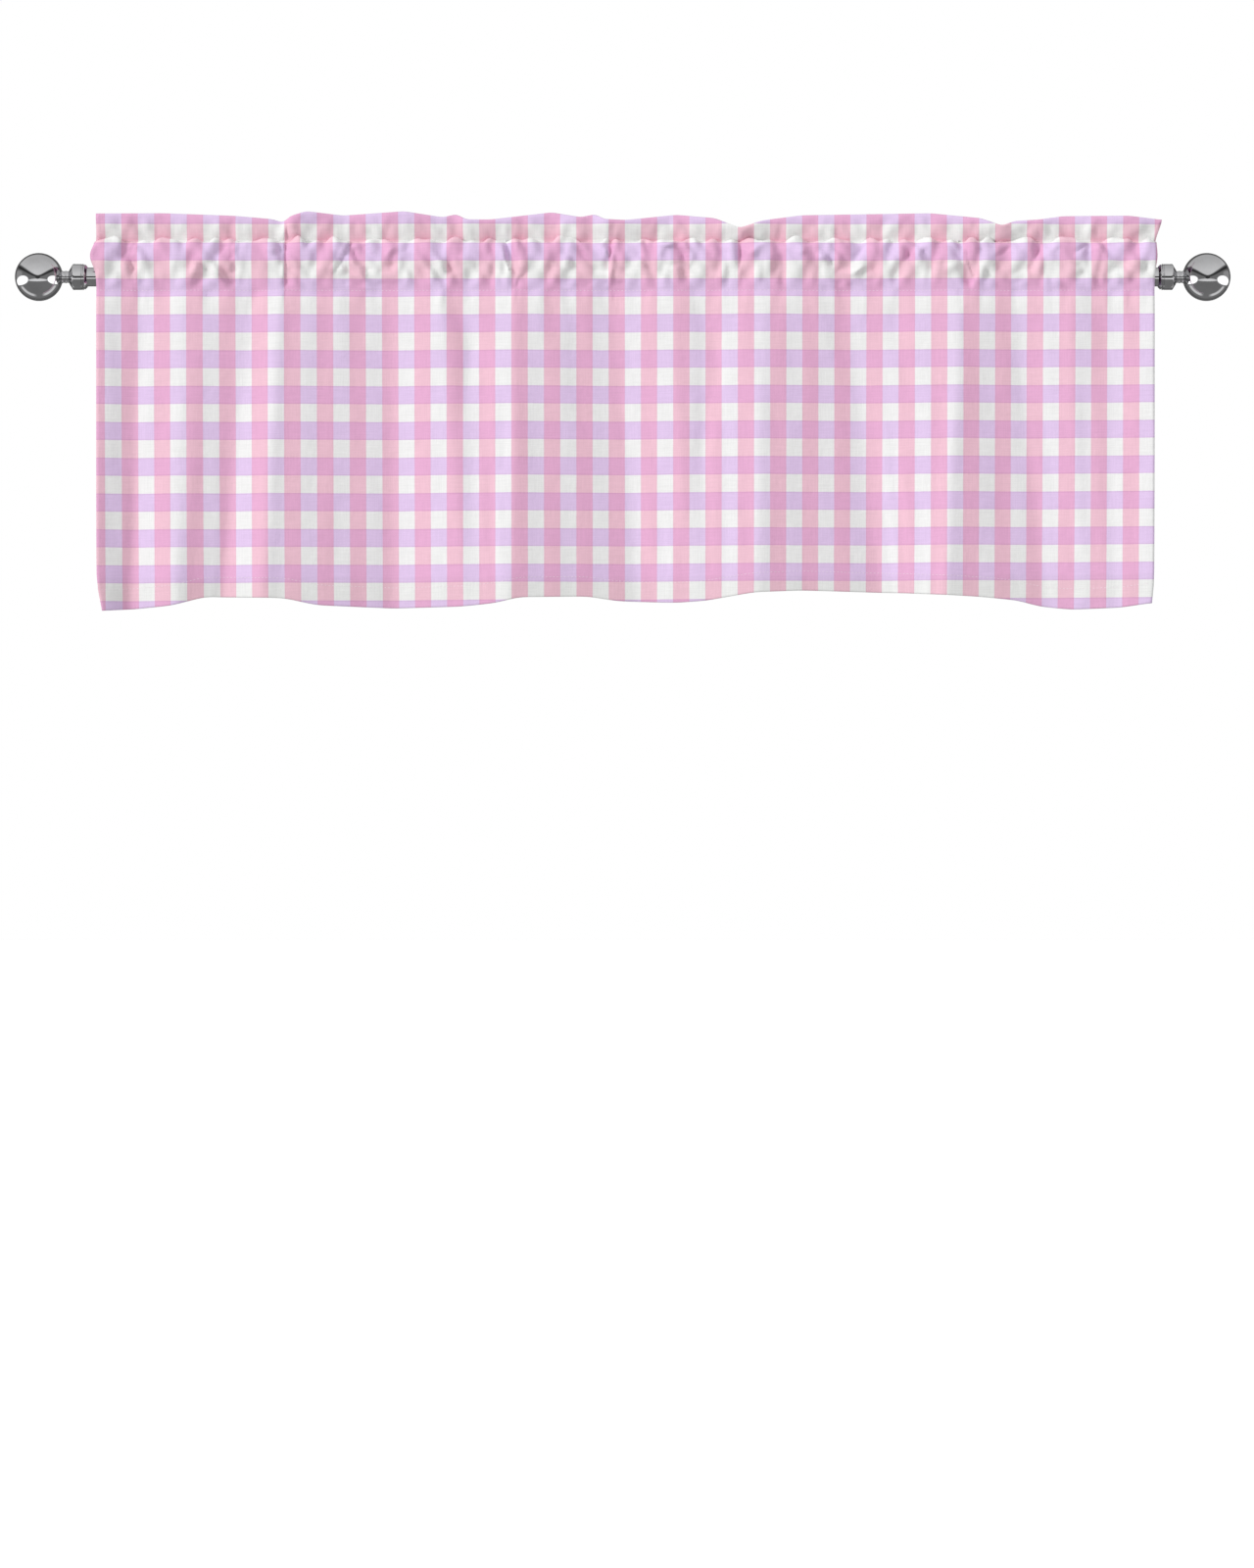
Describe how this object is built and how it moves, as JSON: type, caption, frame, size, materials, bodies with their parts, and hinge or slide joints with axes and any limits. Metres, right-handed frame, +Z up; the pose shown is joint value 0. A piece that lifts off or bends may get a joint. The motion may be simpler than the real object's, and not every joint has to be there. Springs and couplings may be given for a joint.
{
  "type": "window valance on curtain rod",
  "caption": "Short checked window valance with a stand-up heading, gathered by its rod pocket on a plain metal rod with collars and ball finials.",
  "frame": {"origin": "on the rod's axis, at the middle of its length", "axes": "+X along the rod to the right as seen from the room, +Z up, and the front of the cloth faces -Y"},
  "size_m": [1.418, 0.0558, 0.4633],
  "materials": {
    "checked_cloth": "light plain-woven cloth, printed with a pink and lilac check on white",
    "polished_metal": "polished plating"
  },
  "bodies": {
    "root": {"valance_cloth": "checked_cloth", "curtain_rod": "polished_metal", "collar_left": "polished_metal", "collar_right": "polished_metal", "ball_finial_left": "polished_metal", "ball_finial_right": "polished_metal"}
  },
  "joints": []
}
